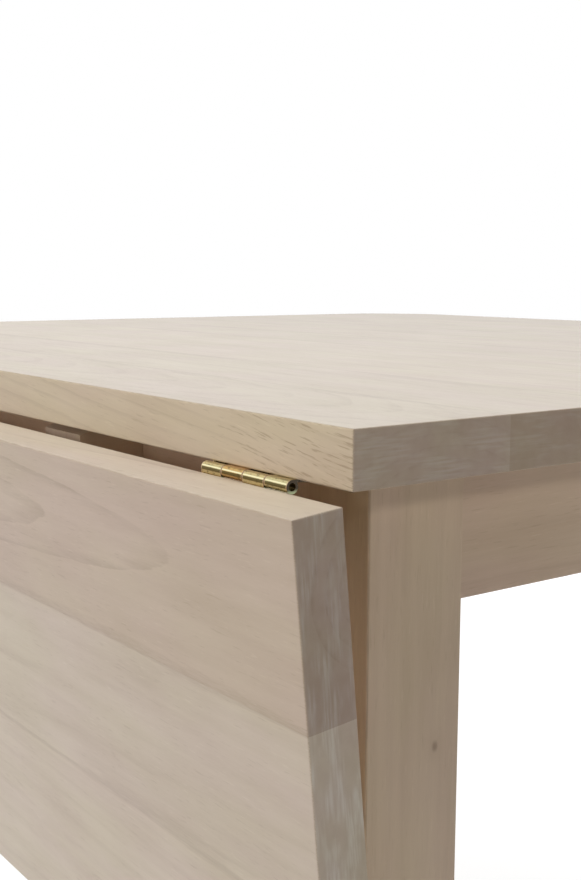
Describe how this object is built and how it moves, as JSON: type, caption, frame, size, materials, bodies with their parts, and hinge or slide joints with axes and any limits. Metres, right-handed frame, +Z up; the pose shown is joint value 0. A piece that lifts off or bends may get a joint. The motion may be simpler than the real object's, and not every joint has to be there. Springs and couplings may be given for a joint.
{
  "type": "drop-leaf extending dining table",
  "caption": "Small wooden dining table on square legs, with a hinged drop leaf along one edge and sliding lopers that carry it when it is raised.",
  "frame": {"origin": "on the floor, under the middle of the whole table's box with the leaf hanging", "axes": "+X across the hinge line, away from the leaf; +Y along the hinge line, from the near end to the far end; +Z up"},
  "size_m": [0.826, 0.89, 0.75],
  "materials": {
    "pale_wood": "matt oiled, edge-glued staves",
    "frame_wood": "matt oiled",
    "dowel_wood": "bare beech",
    "brass": "bright plated",
    "zinc_steel": "zinc plated",
    "nylon": "moulded"
  },
  "bodies": {
    "frame": {"table_top": "pale_wood", "leg_leaf_near": "frame_wood", "leg_leaf_far": "frame_wood", "leg_plain_near": "frame_wood", "leg_plain_far": "frame_wood", "apron_leaf_side": "frame_wood", "apron_plain_side": "frame_wood", "apron_end_near": "frame_wood", "apron_end_far": "frame_wood", "corner_block_leaf_near": "frame_wood", "corner_block_leaf_far": "frame_wood", "corner_block_plain_near": "frame_wood", "corner_block_plain_far": "frame_wood", "loper_saddle_near": "frame_wood", "loper_saddle_far": "frame_wood", "dowels": "dowel_wood", "top_buttons": "dowel_wood", "hanger_bolts": "zinc_steel", "bolt_washers": "zinc_steel", "bolt_nuts": "zinc_steel", "block_screws": "zinc_steel", "button_screws": "zinc_steel", "saddle_screws": "zinc_steel", "top_plate_near": "brass", "hinge_pin_near": "brass", "top_plate_middle": "brass", "hinge_pin_middle": "brass", "top_plate_far": "brass", "hinge_pin_far": "brass", "hinge_screws_top": "brass", "leg_glides": "nylon"},
    "leaf": {"drop_leaf": "pale_wood", "leaf_plate_near": "brass", "leaf_plate_middle": "brass", "leaf_plate_far": "brass", "hinge_screws_leaf": "brass"},
    "loper_near": {"loper_near": "pale_wood", "loper_stop_near": "dowel_wood"},
    "loper_far": {"loper_far": "pale_wood", "loper_stop_far": "dowel_wood"}
  },
  "joints": [
    {"name": "leaf_hinge", "type": "hinge", "parent": "frame", "child": "leaf", "pos_m": [-0.38864, 0, 0.72535], "axis": [0, 1, 0], "range_deg": [-3, 95.5]},
    {"name": "loper_near_slide", "type": "slide", "parent": "frame", "child": "loper_near", "axis": [-1, 0, 0], "range_m": [-0.034, 0.002]},
    {"name": "loper_far_slide", "type": "slide", "parent": "frame", "child": "loper_far", "axis": [-1, 0, 0], "range_m": [-0.034, 0.002]}
  ]
}
